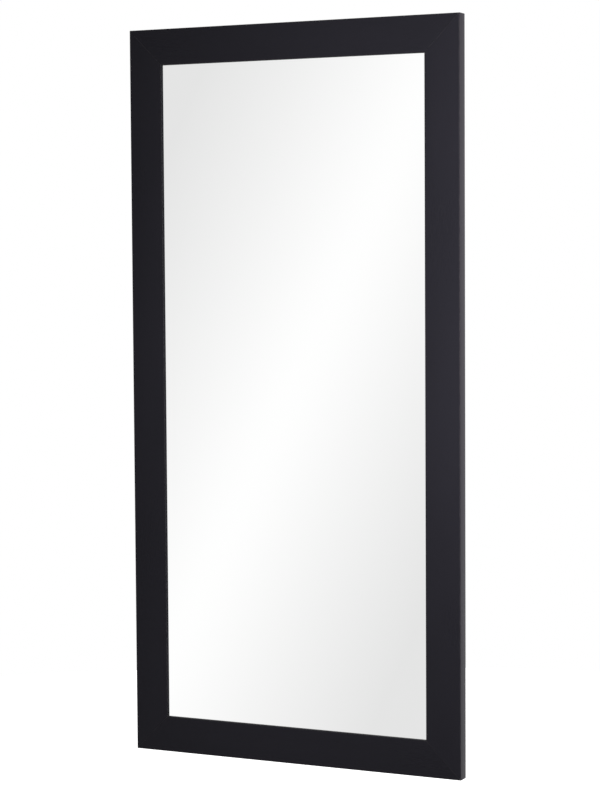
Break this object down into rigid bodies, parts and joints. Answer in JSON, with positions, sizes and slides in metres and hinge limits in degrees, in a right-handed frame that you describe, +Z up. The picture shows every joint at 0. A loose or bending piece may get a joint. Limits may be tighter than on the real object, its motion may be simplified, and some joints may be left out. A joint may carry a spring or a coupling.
{
  "type": "pull-out closet mirror",
  "caption": "Full-length closet mirror in a flat black mitred frame that slides out on side-mounted runners and turns on a vertical pivot.",
  "frame": {"origin": "on the closet side panel's face, at the mounting spine's back, behind the middle of the mirror when it is pushed in", "axes": "+X is the way the mirror pulls out, +Y points into the side panel, +Z is up; the glass faces -Y"},
  "size_m": [0.585, 0.067, 1.2],
  "materials": {
    "frame_black": "satin near-black foil on a flat moulding",
    "mirror_silver": "silvered float glass",
    "hardboard": "plain hardboard",
    "zinc_steel": "bright zinc plate",
    "black_steel": "fine-textured black powder coat",
    "black_plastic": "moulded, matt",
    "white_nylon": "turned nylon",
    "grey_rubber": "soft, matt",
    "catch_magnet": "ground magnet and poles",
    "black_zinc": "black zinc screws"
  },
  "bodies": {
    "base": {"outer_member_upper": "zinc_steel", "outer_member_lower": "zinc_steel", "closing_buffer_upper": "grey_rubber", "closing_buffer_lower": "grey_rubber", "mounting_spine": "zinc_steel"},
    "outer_ball_cages": {"outer_ball_cage_upper": "zinc_steel", "outer_ball_cage_lower": "zinc_steel"},
    "middle_members": {"middle_member_upper": "zinc_steel", "middle_member_lower": "zinc_steel"},
    "inner_ball_cages": {"inner_ball_cage_upper": "zinc_steel", "inner_ball_cage_lower": "zinc_steel"},
    "carriage": {"inner_member_upper": "zinc_steel", "inner_member_lower": "zinc_steel", "arm_upper": "black_steel", "arm_lower": "black_steel", "arm_cap_upper": "black_plastic", "arm_cap_lower": "black_plastic", "pivot_post": "black_steel", "rear_stay": "black_steel", "post_plug_upper": "black_plastic", "post_plug_lower": "black_plastic", "pivot_bush_upper": "white_nylon", "pivot_bush_lower": "white_nylon", "pivot_washer_upper": "white_nylon", "pivot_washer_lower": "white_nylon", "swing_buffer_upper": "grey_rubber", "swing_buffer_lower": "grey_rubber", "catch_housing": "black_plastic", "catch_magnet": "catch_magnet"},
    "mirror": {"left_stile": "frame_black", "right_stile": "frame_black", "top_rail": "frame_black", "bottom_rail": "frame_black", "mirror_glass": "mirror_silver", "backing_board": "hardboard", "glass_clip_left_1": "zinc_steel", "glass_clip_left_2": "zinc_steel", "glass_clip_left_3": "zinc_steel", "glass_clip_right_1": "zinc_steel", "glass_clip_right_2": "zinc_steel", "glass_clip_right_3": "zinc_steel", "glass_clip_top": "zinc_steel", "glass_clip_bottom": "zinc_steel", "corner_brace_upper_left": "zinc_steel", "corner_brace_upper_right": "zinc_steel", "corner_brace_lower_left": "zinc_steel", "corner_brace_lower_right": "zinc_steel", "pivot_bracket_upper": "black_steel", "pivot_bracket_lower": "black_steel", "pivot_pin_upper": "zinc_steel", "pivot_pin_lower": "zinc_steel", "bracket_screw_upper_1": "black_zinc", "bracket_screw_upper_2": "black_zinc", "bracket_screw_upper_3": "black_zinc", "bracket_screw_lower_1": "black_zinc", "bracket_screw_lower_2": "black_zinc", "bracket_screw_lower_3": "black_zinc", "strike_plate": "zinc_steel"}
  },
  "joints": [
    {"name": "pull_out", "type": "slide", "parent": "base", "child": "carriage", "axis": [1, 0, 0], "range_m": [0, 0.48]},
    {"name": "middle_members_slide", "type": "slide", "parent": "base", "child": "middle_members", "axis": [1, 0, 0], "range_m": [0, 0.24]},
    {"name": "outer_cages_slide", "type": "slide", "parent": "base", "child": "outer_ball_cages", "axis": [1, 0, 0], "range_m": [0, 0.12]},
    {"name": "inner_cages_slide", "type": "slide", "parent": "base", "child": "inner_ball_cages", "axis": [1, 0, 0], "range_m": [0, 0.36]},
    {"name": "mirror_swing", "type": "hinge", "parent": "carriage", "child": "mirror", "pos_m": [0.2655, -0.0277, 0], "axis": [0, 0, 1], "range_deg": [0, 90]}
  ],
  "couplings": [
    {"joint": "middle_members_slide", "follows": "pull_out", "ratio": 0.5},
    {"joint": "outer_cages_slide", "follows": "pull_out", "ratio": 0.25},
    {"joint": "inner_cages_slide", "follows": "pull_out", "ratio": 0.75}
  ]
}
